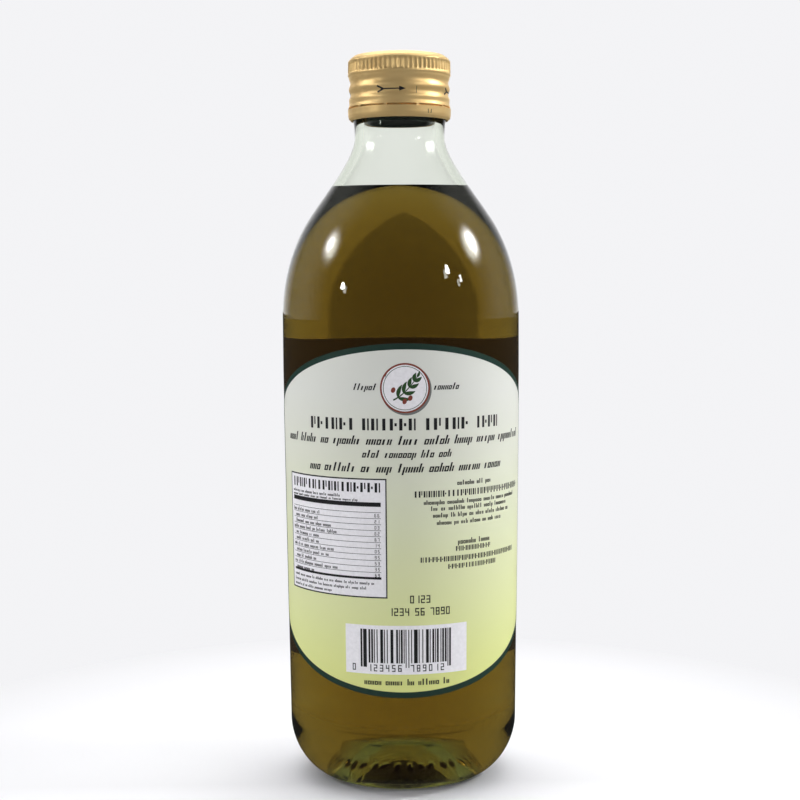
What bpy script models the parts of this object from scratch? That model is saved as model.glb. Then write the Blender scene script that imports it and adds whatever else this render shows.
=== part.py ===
"""A one litre bottle of olive oil: clear glass, oil, two paper labels, a gold screw cap and its pourer.

The bottle stands on the floor with its axis on +Z and the origin at the middle of its base.
The label that carries the small print faces -Y, and the other one faces +Y.
"""

import math

import bmesh
import bpy
import numpy as np

MM = 0.001

# Glass body, in millimetres
TURN_COLUMNS = 52
BEARING_RADIUS = 27.0
BEARING_WIDTH = 1.5
HEEL_HEIGHT = 20.0
HEEL_POWER = 1.8
HEEL_TOP_RADIUS = 42.0
BODY_RADIUS = 43.5
BODY_STRAIGHT_FROM = 150.0
SHOULDER_START = 169.4
DOME_RISE = 56.0
DOME_END = 35.2
WAIST_HEIGHT = 234.8
WAIST_RADIUS = 16.5
DOME_HANDLE = 10.1
WAIST_HANDLE = 7.6
FINISH_START = 241.0
FINISH_RADIUS = 17.0
RIM_HEIGHT = 261.8
RIM_ROUND = 0.8
WALL_BODY = 2.5
WALL_NECK = 3.3
PUNT_HEIGHT = 11.0
PUNT_STEP = 1.6
FLOOR_EDGE = 5.0
FLOOR_EDGE_RADIUS = 27.0
FLOOR_CENTRE = 15.0
INNER_HEEL_TOP = 22.0

# Oil
OIL_LEVEL = 215.5
GAP = 0.3

# Labels
LABEL_BOTTOM = 37.0
LABEL_TOP = 161.0
LABEL_HALF_WIDTH = 64.0
LABEL_ARC_RADIUS = 109.0
LABEL_CORNER = 5.0
LABEL_THICKNESS = 0.15
LABEL_COLUMNS = 22
LABEL_ROWS = 4
CORNER_STEPS = 3

# Cap
CAP_COLUMNS = 68
CAP_TOP = 265.0
CAP_UNDERSIDE = 263.2
CAP_BORE = 17.35
CAP_BOTTOM = 240.7
KNURL_CREST = 18.75
KNURL_ROOT = 18.3
KNURL_TOP = 261.7
KNURL_BOTTOM = 257.6
TEAR_TOP = 245.35
TEAR_BOTTOM = 244.85
TEAR_RADIUS = 18.6
TEAR_BRIDGES = 10

# Pourer
POURER_RADIUS = 12.2
POURER_WALL = 1.4
POURER_BOTTOM = 240.2
POURER_FLOOR = 241.4
POURER_FLANGE_RADIUS = 15.4
POURER_FLANGE = 0.7
POURER_COLUMNS = 32


def clear_scene():
    for thing in list(bpy.data.objects):
        bpy.data.objects.remove(thing, do_unlink=True)


def finish(name, colour, roughness, metallic=0.0, transmission=0.0, ior=1.5):
    """A plain material with one colour."""
    made = bpy.data.materials.new(name)
    made.use_nodes = True
    shader = made.node_tree.nodes["Principled BSDF"]
    shader.inputs["Base Color"].default_value = (*colour, 1.0)
    shader.inputs["Roughness"].default_value = roughness
    shader.inputs["Metallic"].default_value = metallic
    shader.inputs["Transmission Weight"].default_value = transmission
    shader.inputs["IOR"].default_value = ior
    return made


def glass_finish():
    return finish("clear_glass", (0.93, 0.97, 0.94), 0.03, transmission=1.0, ior=1.5)


def oil_finish():
    return finish("olive_oil", (0.42, 0.33, 0.03), 0.03, transmission=0.6, ior=1.47)


def paper_finish():
    return finish("label_paper", (0.72, 0.76, 0.58), 0.55)


def cap_finish():
    return finish("gold_aluminium", (0.80, 0.60, 0.28), 0.32, metallic=1.0)


def pourer_finish():
    return finish("grey_plastic", (0.05, 0.07, 0.06), 0.4)


def place(name, shape, look, smooth_angle=35.0):
    """Turns a bmesh into one shaded object."""
    bmesh.ops.recalc_face_normals(shape, faces=shape.faces[:])
    mesh = bpy.data.meshes.new(name)
    shape.to_mesh(mesh)
    shape.free()
    mesh.materials.append(look)
    mesh.shade_smooth()
    mesh.set_sharp_from_angle(angle=math.radians(smooth_angle))
    made = bpy.data.objects.new(name, mesh)
    bpy.context.scene.collection.objects.link(made)
    return made


def turned(name, profile, look, columns=TURN_COLUMNS):
    """Spins a profile of (radius, height) points once round the Z axis."""
    shape = bmesh.new()
    points = [shape.verts.new((r * MM, 0.0, z * MM)) for r, z in profile]
    edges = [shape.edges.new(pair) for pair in zip(points, points[1:])]
    bmesh.ops.spin(
        shape,
        geom=points + edges,
        axis=(0.0, 0.0, 1.0),
        cent=(0.0, 0.0, 0.0),
        steps=columns,
        angle=2.0 * math.pi,
        use_merge=True,
    )
    bmesh.ops.remove_doubles(shape, verts=shape.verts[:], dist=1e-6)
    return place(name, shape, look)


def heel_curve(steps=7):
    """The rounded heel, a superellipse from the bearing ring up to the wall."""
    across = HEEL_TOP_RADIUS - BEARING_RADIUS
    power = 2.0 / HEEL_POWER
    points = []
    for turn in np.linspace(0.0, math.pi / 2.0, steps):
        r = BEARING_RADIUS + across * math.sin(turn) ** power
        z = HEEL_HEIGHT * (1.0 - abs(math.cos(turn)) ** power)
        points.append((r, z))
    return points


def dome_radius(rise):
    """Radius of the shoulder, half an ellipse, at a height above its start."""
    return BODY_RADIUS * math.sqrt(1.0 - (rise / DOME_RISE) ** 2)


def dome_curve(steps=6):
    return [(dome_radius(rise), SHOULDER_START + rise) for rise in np.linspace(0.0, DOME_END, steps)]


def neck_curve(steps=8):
    """The sweep from the shoulder into the neck's waist, a cubic curve that meets the dome without a kink."""
    slope = -BODY_RADIUS * DOME_END / DOME_RISE**2 / math.sqrt(1.0 - (DOME_END / DOME_RISE) ** 2)
    along = np.array([slope, 1.0]) / math.hypot(slope, 1.0)
    first = np.array([dome_radius(DOME_END), SHOULDER_START + DOME_END])
    last = np.array([WAIST_RADIUS, WAIST_HEIGHT])
    second = first + DOME_HANDLE * along
    third = last - np.array([0.0, WAIST_HANDLE])
    points = []
    for t in np.linspace(0.0, 1.0, steps)[1:]:
        s = 1.0 - t
        point = s**3 * first + 3 * s * s * t * second + 3 * s * t * t * third + t**3 * last
        points.append(tuple(point))
    return points


def wall_curve():
    """The outer side from the top of the heel to the waist."""
    return [(HEEL_TOP_RADIUS, HEEL_HEIGHT), (BODY_RADIUS, BODY_STRAIGHT_FROM)] + dome_curve() + neck_curve()


def inner_wall_curve():
    """The outer side moved inwards along its normal by the wall, which thickens up to the neck."""
    outer = np.array(wall_curve())
    along = np.gradient(outer, axis=0)
    along /= np.linalg.norm(along, axis=1)[:, None]
    inward = np.stack([-along[:, 1], along[:, 0]], axis=1)
    wall = np.interp(outer[:, 1], [SHOULDER_START, WAIST_HEIGHT], [WALL_BODY, WALL_NECK])
    inner = outer + inward * wall[:, None]
    return [tuple(point) for point in inner[1:]]


def inner_heel_curve(steps=6):
    """The inside of the heel, a quarter of an ellipse from the floor's edge up to the wall."""
    side = HEEL_TOP_RADIUS - WALL_BODY
    across = side - FLOOR_EDGE_RADIUS
    rise = INNER_HEEL_TOP - FLOOR_EDGE
    return [
        (FLOOR_EDGE_RADIUS + across * math.sin(turn), FLOOR_EDGE + rise * (1.0 - math.cos(turn)))
        for turn in np.linspace(0.0, math.pi / 2.0, steps)
    ]


def dish(edge_radius, edge_height, centre_height, steps):
    """A shallow dome from the axis out to an edge, by the square of the radius."""
    return [
        (r, centre_height + (edge_height - centre_height) * (r / edge_radius) ** 2)
        for r in np.linspace(0.0, edge_radius, steps)
    ]


def inner_curve():
    """The whole inside, from the middle of the floor up to the waist."""
    floor = dish(FLOOR_EDGE_RADIUS, FLOOR_EDGE, FLOOR_CENTRE, 4)
    return floor[:-1] + inner_heel_curve() + inner_wall_curve()


def make_glass():
    """One blown glass body: punt, bearing ring, heel, wall, shoulder, neck and an open mouth."""
    ring_inner = BEARING_RADIUS - BEARING_WIDTH
    base = dish(ring_inner - PUNT_STEP, PUNT_STEP, PUNT_HEIGHT, 4) + [(ring_inner, 0.0)]
    bore = WAIST_RADIUS - WALL_NECK
    rim = [
        (FINISH_RADIUS, FINISH_START),
        (FINISH_RADIUS, RIM_HEIGHT - RIM_ROUND),
        (FINISH_RADIUS - RIM_ROUND, RIM_HEIGHT),
        (bore + RIM_ROUND, RIM_HEIGHT),
        (bore, RIM_HEIGHT - RIM_ROUND),
    ]
    outside = base + heel_curve() + wall_curve()[1:] + rim
    return turned("glass_bottle", outside + inner_curve()[::-1], glass_finish())


def make_oil():
    """The oil up to its level, a thin gap inside the glass."""
    inside = np.array(inner_curve())
    along = np.gradient(inside, axis=0)
    along /= np.linalg.norm(along, axis=1)[:, None]
    moved = inside + np.stack([-along[:, 1], along[:, 0]], axis=1) * GAP
    moved[0] = (0.0, FLOOR_CENTRE + GAP)
    below = [tuple(point) for point in moved if point[1] < OIL_LEVEL - 1.0]
    edge = float(np.interp(OIL_LEVEL, moved[4:, 1], moved[4:, 0]))
    return turned("oil", below + [(edge, OIL_LEVEL), (0.0, OIL_LEVEL)], oil_finish())


def glass_radius(z):
    """Radius of the straight part of the body at a height."""
    heights = [HEEL_HEIGHT, BODY_STRAIGHT_FROM]
    return float(np.interp(z, heights, [HEEL_TOP_RADIUS, BODY_RADIUS]))


def label_columns():
    """Pairs of how far round a column of the label is and how far its ends draw in from the tips."""
    flat = LABEL_HALF_WIDTH - LABEL_CORNER
    middle = [(x, 0.0) for x in np.linspace(-flat, flat, LABEL_COLUMNS + 1)]
    corner = []
    for turn in np.linspace(0.0, math.pi / 2.0, CORNER_STEPS + 1)[1:]:
        corner.append((flat + LABEL_CORNER * math.sin(turn), LABEL_CORNER * (1.0 - math.cos(turn))))
    left = [(-x, draw) for x, draw in reversed(corner)]
    return left + middle + corner


def make_label(name, facing):
    """A paper label wrapped half way round, its top and bottom edges arcs with rounded corners.

    facing is the direction of its middle, in degrees from +X.
    """
    shape = bmesh.new()
    columns = label_columns()
    skins = []
    for lift in (GAP, GAP + LABEL_THICKNESS):
        skin = []
        for x, draw in columns:
            sag = LABEL_ARC_RADIUS - math.sqrt(LABEL_ARC_RADIUS**2 - x * x) + draw
            turn = math.radians(facing) + x / BODY_RADIUS
            column = []
            for z in np.linspace(LABEL_BOTTOM + sag, LABEL_TOP - sag, LABEL_ROWS + 1):
                r = glass_radius(z) + lift
                place_of = (r * math.cos(turn) * MM, r * math.sin(turn) * MM, z * MM)
                column.append(shape.verts.new(place_of))
            skin.append(column)
        skins.append(skin)
    back, front = skins
    for skin in skins:
        for a, b in zip(skin, skin[1:]):
            for row in range(LABEL_ROWS):
                shape.faces.new((a[row], b[row], b[row + 1], a[row + 1]))
    for row in (0, LABEL_ROWS):
        for k in range(len(columns) - 1):
            shape.faces.new((back[k][row], back[k + 1][row], front[k + 1][row], front[k][row]))
    for k in (0, len(columns) - 1):
        for row in range(LABEL_ROWS):
            shape.faces.new((back[k][row], back[k][row + 1], front[k][row + 1], front[k][row]))
    return place(name, shape, paper_finish())


def ring(shape, radii, height):
    """A closed ring of points round the axis, one for each radius in the list."""
    turns = np.arange(len(radii)) * 2.0 * math.pi / len(radii)
    points = zip(np.array(radii) * np.cos(turns) * MM, np.array(radii) * np.sin(turns) * MM)
    return [shape.verts.new((x, y, height * MM)) for x, y in points]


def skin_between(shape, first, second):
    """Faces between two rings, the second of which may have twice as many points."""
    count = len(first)
    fine = len(second) // count
    for k in range(count):
        after = (k + 1) % count
        if fine == 1:
            shape.faces.new((first[k], first[after], second[after], second[k]))
            continue
        middle = second[2 * k + 1]
        shape.faces.new((first[k], middle, second[2 * k]))
        shape.faces.new((first[k], first[after], middle))
        shape.faces.new((first[after], second[(2 * k + 2) % len(second)], middle))


def cap_rings(shape, outline):
    """Plain rings at each (radius, height), joined one to the next."""
    rings = [ring(shape, [r] * CAP_COLUMNS, z) for r, z in outline]
    for first, second in zip(rings, rings[1:]):
        skin_between(shape, first, second)
    return rings


def cut_tear_line(shape, outer_top, outer_bottom, inner_top, inner_bottom):
    """The slit above the tamper band, right through the wall between evenly spread bridges."""
    bridges = {round(k * CAP_COLUMNS / TEAR_BRIDGES) for k in range(TEAR_BRIDGES)}
    for k in range(CAP_COLUMNS):
        after = (k + 1) % CAP_COLUMNS
        if k in bridges:
            shape.faces.new((outer_top[k], outer_top[after], outer_bottom[after], outer_bottom[k]))
            shape.faces.new((inner_top[k], inner_top[after], inner_bottom[after], inner_bottom[k]))
        else:
            shape.faces.new((outer_top[k], outer_top[after], inner_top[after], inner_top[k]))
            shape.faces.new((outer_bottom[k], outer_bottom[after], inner_bottom[after], inner_bottom[k]))
        if (k in bridges) != ((k - 1) % CAP_COLUMNS in bridges):
            shape.faces.new((outer_top[k], outer_bottom[k], inner_bottom[k], inner_top[k]))


def make_cap():
    """A rolled aluminium screw cap: knurled head, two grooves with a bead between, slit and tamper band."""
    shape = bmesh.new()
    head = cap_rings(shape, [(10.8, CAP_TOP), (16.6, 264.0), (17.9, 262.9), (KNURL_ROOT, 262.2)])
    centre = shape.verts.new((0.0, 0.0, CAP_TOP * MM))
    knurl = [KNURL_ROOT, KNURL_CREST] * CAP_COLUMNS
    knurl_top = ring(shape, knurl, KNURL_TOP)
    knurl_bottom = ring(shape, knurl, KNURL_BOTTOM)
    skin_between(shape, head[-1], knurl_top)
    skin_between(shape, knurl_top, knurl_bottom)
    thread = [
        (KNURL_CREST, 257.1),
        (18.5, 256.4),
        (17.95, 254.6),
        (18.0, 253.7),
        (18.48, 252.2),
        (18.3, 251.2),
        (17.88, 250.1),
        (18.35, 248.5),
        (18.3, 246.8),
        (TEAR_RADIUS, TEAR_TOP),
    ]
    skirt = cap_rings(shape, thread)
    skin_between(shape, skirt[0], knurl_bottom)
    band = [(TEAR_RADIUS + 0.2, TEAR_BOTTOM), (18.8, 242.3), (18.4, 241.2), (17.9, CAP_BOTTOM)]
    outer_band = cap_rings(shape, band + [(CAP_BORE, CAP_BOTTOM), (CAP_BORE, TEAR_BOTTOM)])
    inside = cap_rings(shape, [(CAP_BORE, TEAR_TOP), (CAP_BORE, CAP_UNDERSIDE)])
    cut_tear_line(shape, skirt[-1], outer_band[0], inside[0], outer_band[-1])
    under = shape.verts.new((0.0, 0.0, CAP_UNDERSIDE * MM))
    for k in range(CAP_COLUMNS):
        after = (k + 1) % CAP_COLUMNS
        shape.faces.new((head[0][k], head[0][after], centre))
        shape.faces.new((inside[-1][k], inside[-1][after], under))
    return place("cap", shape, cap_finish(), smooth_angle=30.0)


def make_pourer():
    """The dark plastic pourer that hangs in the bore, closed below, with its flange on the glass rim."""
    flange_bottom = RIM_HEIGHT + GAP
    flange_top = flange_bottom + POURER_FLANGE
    inner = POURER_RADIUS - POURER_WALL
    profile = [
        (0.0, POURER_FLOOR),
        (inner, POURER_FLOOR),
        (inner + 0.4, POURER_BOTTOM),
        (POURER_RADIUS, POURER_BOTTOM),
        (POURER_RADIUS, flange_bottom),
        (POURER_FLANGE_RADIUS, flange_bottom),
        (POURER_FLANGE_RADIUS, flange_top),
        (inner, flange_top),
        (inner, POURER_FLOOR + POURER_WALL),
        (0.0, POURER_FLOOR + POURER_WALL),
    ]
    return turned("pourer", profile, pourer_finish(), POURER_COLUMNS)


clear_scene()
make_glass()
make_oil()
make_label("back_label", -90.0)
make_label("front_label", 90.0)
make_cap()
make_pourer()
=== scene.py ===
"""The looks of a one litre bottle of olive oil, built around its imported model."""

import math

import bpy
import numpy as np
from mathutils import Euler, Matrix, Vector


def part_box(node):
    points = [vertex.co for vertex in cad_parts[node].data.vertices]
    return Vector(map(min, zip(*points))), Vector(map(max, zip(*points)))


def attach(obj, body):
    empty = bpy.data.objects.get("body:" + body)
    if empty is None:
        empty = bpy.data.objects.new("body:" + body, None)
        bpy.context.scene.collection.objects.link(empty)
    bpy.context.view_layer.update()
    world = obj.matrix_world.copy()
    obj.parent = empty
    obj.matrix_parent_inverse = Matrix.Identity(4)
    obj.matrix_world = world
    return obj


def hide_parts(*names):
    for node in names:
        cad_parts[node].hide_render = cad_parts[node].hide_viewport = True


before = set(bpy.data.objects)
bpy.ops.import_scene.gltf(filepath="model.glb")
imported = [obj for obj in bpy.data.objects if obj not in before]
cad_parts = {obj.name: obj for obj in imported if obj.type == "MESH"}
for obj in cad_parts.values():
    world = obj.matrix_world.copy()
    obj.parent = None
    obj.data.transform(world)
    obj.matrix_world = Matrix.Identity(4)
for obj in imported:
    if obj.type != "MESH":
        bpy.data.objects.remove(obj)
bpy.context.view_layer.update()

# The camera stands a little above the label's middle, at arm's length, and looks slightly down.
# Its distance, height and lens come from a fit to the bottle's outline.
MM = 0.001
CAMERA_DISTANCE = 580.7
CAMERA_HEIGHT = 181.5
CAMERA_AZIMUTH = math.radians(-1.4)
CAMERA_PITCH = math.radians(90.0 - 4.254)
CAMERA_YAW = math.radians(0.047)
CAMERA_ROLL = math.radians(-0.37)
CAMERA_LENS = 70.58

camera_data = bpy.data.cameras.new("camera")
camera_data.lens = CAMERA_LENS
camera_data.sensor_width = 36.0
camera = bpy.data.objects.new("camera", camera_data)
camera.location = (
    CAMERA_DISTANCE * math.sin(CAMERA_AZIMUTH) * MM,
    -CAMERA_DISTANCE * math.cos(CAMERA_AZIMUTH) * MM,
    CAMERA_HEIGHT * MM,
)
looking = Euler((CAMERA_PITCH, 0.0, CAMERA_AZIMUTH + CAMERA_YAW)).to_quaternion()
rolled = Euler((0.0, 0.0, CAMERA_ROLL)).to_quaternion()
camera.rotation_euler = (looking @ rolled).to_euler()
bpy.context.scene.collection.objects.link(camera)
bpy.context.scene.camera = camera


# The bottle is one blown body of clear, faintly green glass with a polished skin.
# It has a shallow punt with raised mould marks, a rounded heel, a slightly tapered wall,
# a domed shoulder and a waisted neck. Its inside is left open to the oil and the pourer.
class Number:
    """A node's output that takes part in sums: each operator adds its Math node."""

    def __init__(self, look, socket):
        self.look = look
        self.socket = socket

    def math(self, operation, first, second):
        return self.look.node("ShaderNodeMath", {"operation": operation}, {0: first, 1: second})

    def __add__(self, other):
        return self.math("ADD", self, other)

    def __sub__(self, other):
        return self.math("SUBTRACT", self, other)

    def __mul__(self, other):
        return self.math("MULTIPLY", self, other)

    def __truediv__(self, other):
        return self.math("DIVIDE", self, other)

    def __radd__(self, other):
        return self.math("ADD", other, self)

    def __rsub__(self, other):
        return self.math("SUBTRACT", other, self)

    def __rmul__(self, other):
        return self.math("MULTIPLY", other, self)

    def __pow__(self, other):
        return self.math("POWER", self, other)

    def above(self, edge):
        return self.math("GREATER_THAN", self, edge)

    def at_most(self, top):
        return self.math("MINIMUM", self, top)


class Look:
    """A material under construction, on one Principled shader."""

    def __init__(self, name):
        self.material = bpy.data.materials.new(name)
        self.material.use_nodes = True
        self.tree = self.material.node_tree
        self.shader = self.tree.nodes["Principled BSDF"]
        self.output = self.tree.nodes["Material Output"]

    def node(self, kind, settings=None, inputs=None, output=0):
        """Adds a node, sets it, then fills its sockets with values or links, and gives one output."""
        made = self.tree.nodes.new(kind)
        for name, value in (settings or {}).items():
            if name == "ramp":
                self.fill_ramp(made.color_ramp, value)
            else:
                setattr(made, name, value)
        for name, value in (inputs or {}).items():
            self.feed(made.inputs[name], value)
        return Number(self, made.outputs[output])

    def feed(self, socket, value):
        if isinstance(value, Number):
            self.tree.links.new(value.socket, socket)
        elif socket.type == "RGBA" and len(value) == 3:
            socket.default_value = (*value, 1.0)
        else:
            socket.default_value = value

    def fill_ramp(self, ramp, stops):
        while len(ramp.elements) < len(stops):
            ramp.elements.new(0.5)
        for element, (place, colour) in zip(ramp.elements, stops):
            element.position = place
            element.color = (*colour, 1.0) if len(colour) == 3 else colour

    def set(self, **values):
        """Sets the Principled shader's sockets, by name with _ for spaces."""
        for name, value in values.items():
            self.feed(self.shader.inputs[name.replace("_", " ")], value)

    def ramp(self, factor, stops):
        return self.node("ShaderNodeValToRGB", {"ramp": stops}, {0: factor})

    def mix(self, factor, first, second):
        settings = {"data_type": "RGBA"}
        return self.node("ShaderNodeMix", settings, {0: factor, 6: first, 7: second}, output=2)

    def place(self):
        """Object coordinates, in metres."""
        return self.node("ShaderNodeTexCoord", output=3)

    def axis(self, which):
        """One of the object coordinates as a number."""
        return self.node("ShaderNodeSeparateXYZ", inputs={0: self.place()}, output="XYZ".index(which))

    def noise(self, scale, detail=2.0, roughness=0.5, vector=None):
        """Fractal noise about 0.5, scale in lumps a metre."""
        inputs = {"Scale": scale, "Detail": detail, "Roughness": roughness, "Vector": vector or self.place()}
        return self.node("ShaderNodeTexNoise", inputs=inputs)

    def bump(self, height, strength, depth):
        """Relief of a depth in metres, fed to the shader's normal."""
        inputs = {"Height": height, "Strength": strength, "Distance": depth}
        self.set(Normal=self.node("ShaderNodeBump", inputs=inputs))

    def absorb(self, colour, density):
        """Light lost inside, per metre: density times one minus the colour."""
        inputs = {"Color": colour, "Density": density}
        inside = self.node("ShaderNodeVolumeAbsorption", inputs=inputs)
        self.tree.links.new(inside.socket, self.output.inputs["Volume"])


SHARP_FROM = math.radians(50.0)


def mesh_piece(name, points, faces, material, node=None, slot=None):
    """Makes a smooth mesh from points in millimetres and arrays of faces, and rides it on the body."""
    mesh = bpy.data.meshes.new(name)
    mesh.from_pydata((points * MM).tolist(), [], [face for array in faces for face in array.tolist()])
    mesh.shade_smooth()
    mesh.set_sharp_from_angle(angle=SHARP_FROM)
    mesh.materials.append(material)
    piece = bpy.data.objects.new(name, mesh)
    bpy.context.scene.collection.objects.link(piece)
    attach(piece, "root")
    if node:
        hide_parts(node)
    return piece


def ring_faces(rings, columns, start=0):
    """Quads between neighbouring rings of a grid whose columns close on themselves."""
    row, column = np.meshgrid(np.arange(rings - 1), np.arange(columns), indexing="ij")
    after = (column + 1) % columns
    foot, head = row * columns, (row + 1) * columns
    corners = [foot + column, foot + after, head + after, head + column]
    return np.stack([c.ravel() for c in corners], axis=1) + start


def turned(name, radii, heights, columns, material, shift=None, **rest):
    """Turns a profile about Z: x = r cos(a), y = r sin(a). Both ends lie on the axis and are single points.

    shift(angle, radius, height) may move each ring's points and gives new radii and heights.
    """
    angle = np.arange(columns) * 2.0 * math.pi / columns
    r = np.repeat(np.asarray(radii)[1:-1, None], columns, axis=1)
    z = np.repeat(np.asarray(heights)[1:-1, None], columns, axis=1)
    if shift:
        r, z = shift(angle[None, :], r, z)
    rings = np.stack([r * np.cos(angle), r * np.sin(angle), z], axis=2).reshape(-1, 3)
    first = np.array([[0.0, 0.0, heights[0]]])
    last = np.array([[0.0, 0.0, heights[-1]]])
    points = np.concatenate([rings, first, last])
    quads = ring_faces(len(radii) - 2, columns)
    k = np.arange(columns)
    after = (k + 1) % columns
    foot = (len(radii) - 3) * columns
    first_fan = np.stack([np.full(columns, len(rings)), after, k], axis=1)
    last_fan = np.stack([np.full(columns, len(rings) + 1), foot + k, foot + after], axis=1)
    return mesh_piece(name, points, [quads, first_fan, last_fan], material, **rest)


def arc(centre, radii, start, end, steps):
    """Points of an ellipse's arc between two angles, in degrees."""
    turn = np.radians(np.linspace(start, end, steps))
    return centre[0] + radii[0] * np.cos(turn), centre[1] + radii[1] * np.sin(turn)


def joined(*stretches):
    """One profile from several (radii, heights) stretches."""
    radii = np.concatenate([np.atleast_1d(r).astype(float) for r, _ in stretches])
    heights = np.concatenate([np.atleast_1d(z).astype(float) for _, z in stretches])
    return radii, heights


glass_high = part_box("glass_bottle")[1]
BODY_RADIUS = glass_high.x / MM
RIM_HEIGHT = glass_high.z / MM
BEARING_RADIUS = 27.0
BEARING_WIDTH = 1.5
HEEL_HEIGHT = 20.0
HEEL_POWER = 1.8
HEEL_TOP_RADIUS = 42.0
BODY_STRAIGHT_FROM = 150.0
SHOULDER_START = 169.4
DOME_RISE = 56.0
DOME_END = 35.2
WAIST_HEIGHT = 234.8
WAIST_RADIUS = 16.5
DOME_HANDLE = 10.1
WAIST_HANDLE = 7.6
FINISH_START = 241.0
FINISH_RADIUS = 17.0
RIM_ROUND = 0.8
WALL_BODY = 2.5
WALL_NECK = 3.3
PUNT_HEIGHT = 11.0
PUNT_STEP = 1.6
FLOOR_EDGE = 5.0
FLOOR_EDGE_RADIUS = 27.0
FLOOR_CENTRE = 15.0
INNER_HEEL_TOP = 22.0
GLASS_COLUMNS = 176
MARK_HEIGHT = 0.45
MARK_HALF_WIDTH = 0.45
MARK_CIRCLE = 17.5
GLASS_TINT = (0.40, 0.58, 0.16)
GLASS_DENSITY = 34.0


def heel_profile(steps=60):
    """A superellipse from the bearing ring up to the wall."""
    turn = np.linspace(0.0, math.pi / 2.0, steps)
    power = 2.0 / HEEL_POWER
    radii = BEARING_RADIUS + (HEEL_TOP_RADIUS - BEARING_RADIUS) * np.sin(turn) ** power
    return radii, HEEL_HEIGHT * (1.0 - np.abs(np.cos(turn)) ** power)


def wall_profile():
    """The outer side from the heel's top: a straight taper, half an ellipse, then a cubic to the waist."""
    taper_z = np.linspace(HEEL_HEIGHT + 1.0, SHOULDER_START - 1.0, 60)
    taper_r = np.interp(taper_z, [HEEL_HEIGHT, BODY_STRAIGHT_FROM], [HEEL_TOP_RADIUS, BODY_RADIUS])
    rise = np.linspace(0.0, DOME_END, 44)
    dome_r = BODY_RADIUS * np.sqrt(1.0 - (rise / DOME_RISE) ** 2)
    slope = -(BODY_RADIUS**2) * DOME_END / DOME_RISE**2 / dome_r[-1]
    along = np.array([slope, 1.0]) / math.hypot(slope, 1.0)
    first = np.array([dome_r[-1], SHOULDER_START + DOME_END])
    last = np.array([WAIST_RADIUS, WAIST_HEIGHT])
    second = first + DOME_HANDLE * along
    third = last - np.array([0.0, WAIST_HANDLE])
    t = np.linspace(0.0, 1.0, 44)[1:, None]
    s = 1.0 - t
    sweep = s**3 * first + 3 * s * s * t * second + 3 * s * t * t * third + t**3 * last
    return joined((taper_r, taper_z), (dome_r, SHOULDER_START + rise), (sweep[:, 0], sweep[:, 1]))


def moved_in(radii, heights, depth):
    """A profile moved to the left of its direction by a depth."""
    along_r, along_z = np.gradient(radii), np.gradient(heights)
    length = np.hypot(along_r, along_z)
    return radii - along_z / length * depth, heights + along_r / length * depth


def inner_profile():
    """The inside from the middle of the floor: a dished floor, a quarter ellipse, then the wall moved in."""
    floor_r = np.linspace(0.0, FLOOR_EDGE_RADIUS, 30)[:-1]
    floor_z = FLOOR_CENTRE + (FLOOR_EDGE - FLOOR_CENTRE) * (floor_r / FLOOR_EDGE_RADIUS) ** 2
    side = HEEL_TOP_RADIUS - WALL_BODY
    heel = arc(
        (FLOOR_EDGE_RADIUS, INNER_HEEL_TOP),
        (side - FLOOR_EDGE_RADIUS, INNER_HEEL_TOP - FLOOR_EDGE),
        -90.0,
        0.0,
        40,
    )
    wall_r, wall_z = wall_profile()
    keep = wall_z > INNER_HEEL_TOP + 1.0
    depth = np.interp(wall_z, [SHOULDER_START, WAIST_HEIGHT], [WALL_BODY, WALL_NECK])
    inner_r, inner_z = moved_in(wall_r, wall_z, depth)
    return joined((floor_r, floor_z), heel, (inner_r[keep], inner_z[keep]))


def glass_profile():
    """Punt, bearing ring, heel, wall and finish outside, then the rim and the inside back to its floor."""
    ring_inner = BEARING_RADIUS - BEARING_WIDTH
    punt_r = np.linspace(0.0, ring_inner - PUNT_STEP, 48)
    punt_z = PUNT_HEIGHT + (PUNT_STEP - PUNT_HEIGHT) * (punt_r / punt_r[-1]) ** 2
    step = arc((ring_inner - PUNT_STEP, 0.0), (PUNT_STEP, PUNT_STEP), 75.0, 0.0, 8)
    bore = WAIST_RADIUS - WALL_NECK
    finish_z = np.linspace(WAIST_HEIGHT + 0.8, FINISH_START, 12)
    blend = (finish_z - WAIST_HEIGHT) / (FINISH_START - WAIST_HEIGHT)
    finish_r = WAIST_RADIUS + (FINISH_RADIUS - WAIST_RADIUS) * blend**2
    straight = np.linspace(FINISH_START + 1.0, RIM_HEIGHT - RIM_ROUND, 8)
    lip_out = arc((FINISH_RADIUS - RIM_ROUND, RIM_HEIGHT - RIM_ROUND), (RIM_ROUND, RIM_ROUND), 0.0, 90.0, 6)
    lip_in = arc((bore + RIM_ROUND, RIM_HEIGHT - RIM_ROUND), (RIM_ROUND, RIM_ROUND), 90.0, 180.0, 6)
    inner_r, inner_z = inner_profile()
    down = np.linspace(RIM_HEIGHT - 2.0, WAIST_HEIGHT + 1.0, 16)
    return joined(
        (punt_r, punt_z),
        step,
        heel_profile(),
        wall_profile(),
        (finish_r, finish_z),
        (np.full(8, FINISH_RADIUS), straight),
        lip_out,
        lip_in,
        (np.full(16, bore), down),
        (inner_r[::-1], inner_z[::-1]),
    )


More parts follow.
